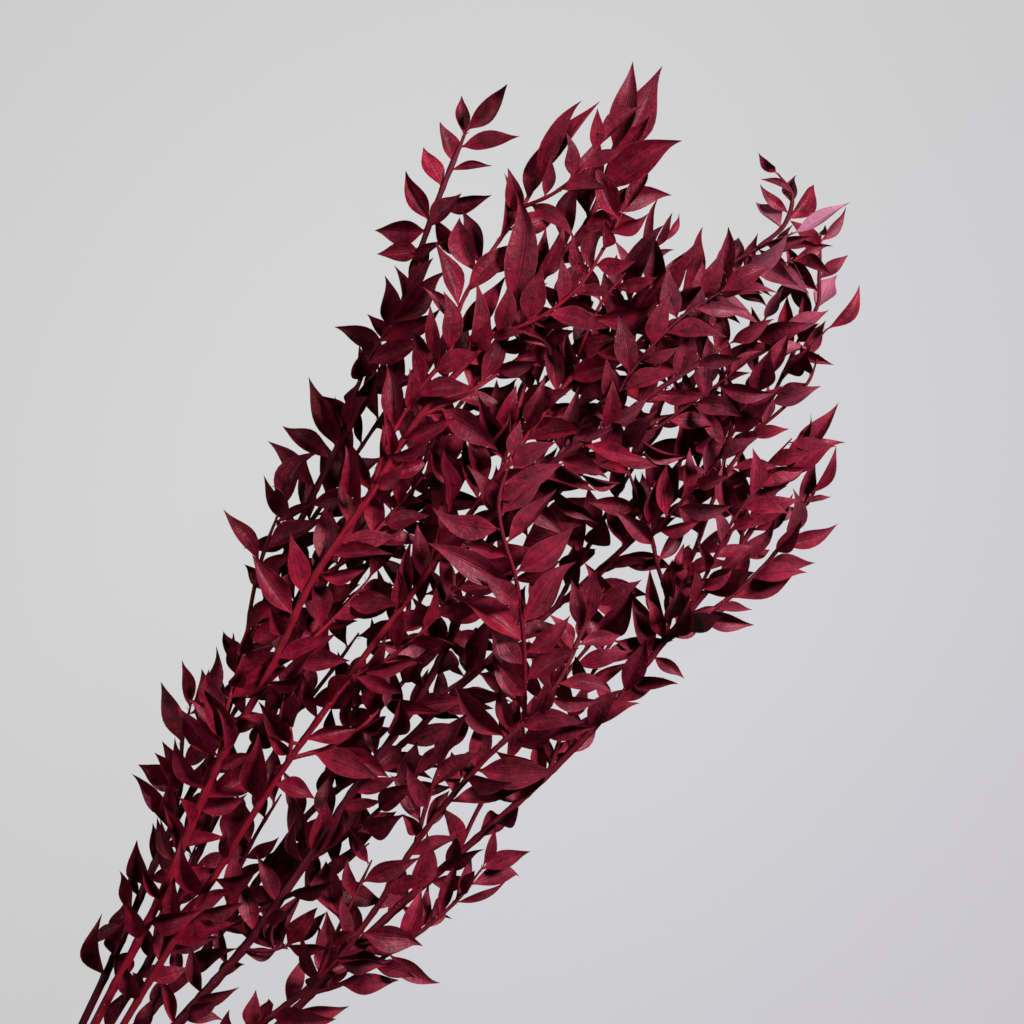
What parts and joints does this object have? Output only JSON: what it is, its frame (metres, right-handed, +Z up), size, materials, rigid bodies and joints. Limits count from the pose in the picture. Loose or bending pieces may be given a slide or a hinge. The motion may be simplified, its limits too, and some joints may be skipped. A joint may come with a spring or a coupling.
{
  "type": "bunch of dried ruscus stems",
  "caption": "Tied bunch of dried dark red ruscus stems with pointed leaves, lying on its side, for a floor vase or a dried flower arrangement.",
  "frame": {"origin": "middle of the bottom of the bounding box, on the surface that the bunch lies on", "axes": "+X along the bunch from the cut ends to the leafy tips, +Y across it, +Z up"},
  "size_m": [0.7658, 0.2886, 0.0976],
  "materials": {
    "bark": "smooth dyed bark, crimson where the light falls and nearly black in the folds",
    "leaf": "dry dyed leaf with fine lengthwise veins and a soft satin sheen",
    "rubber": "plain matt natural rubber"
  },
  "bodies": {
    "root": {"leafy_stem_1": "bark", "leafy_stem_2": "bark", "leafy_stem_3": "bark", "leafy_stem_4": "bark", "leafy_stem_5": "bark", "leafy_stem_6": "bark", "leafy_stem_7": "bark", "leafy_stem_8": "bark", "rubber_band": "rubber"}
  },
  "joints": []
}
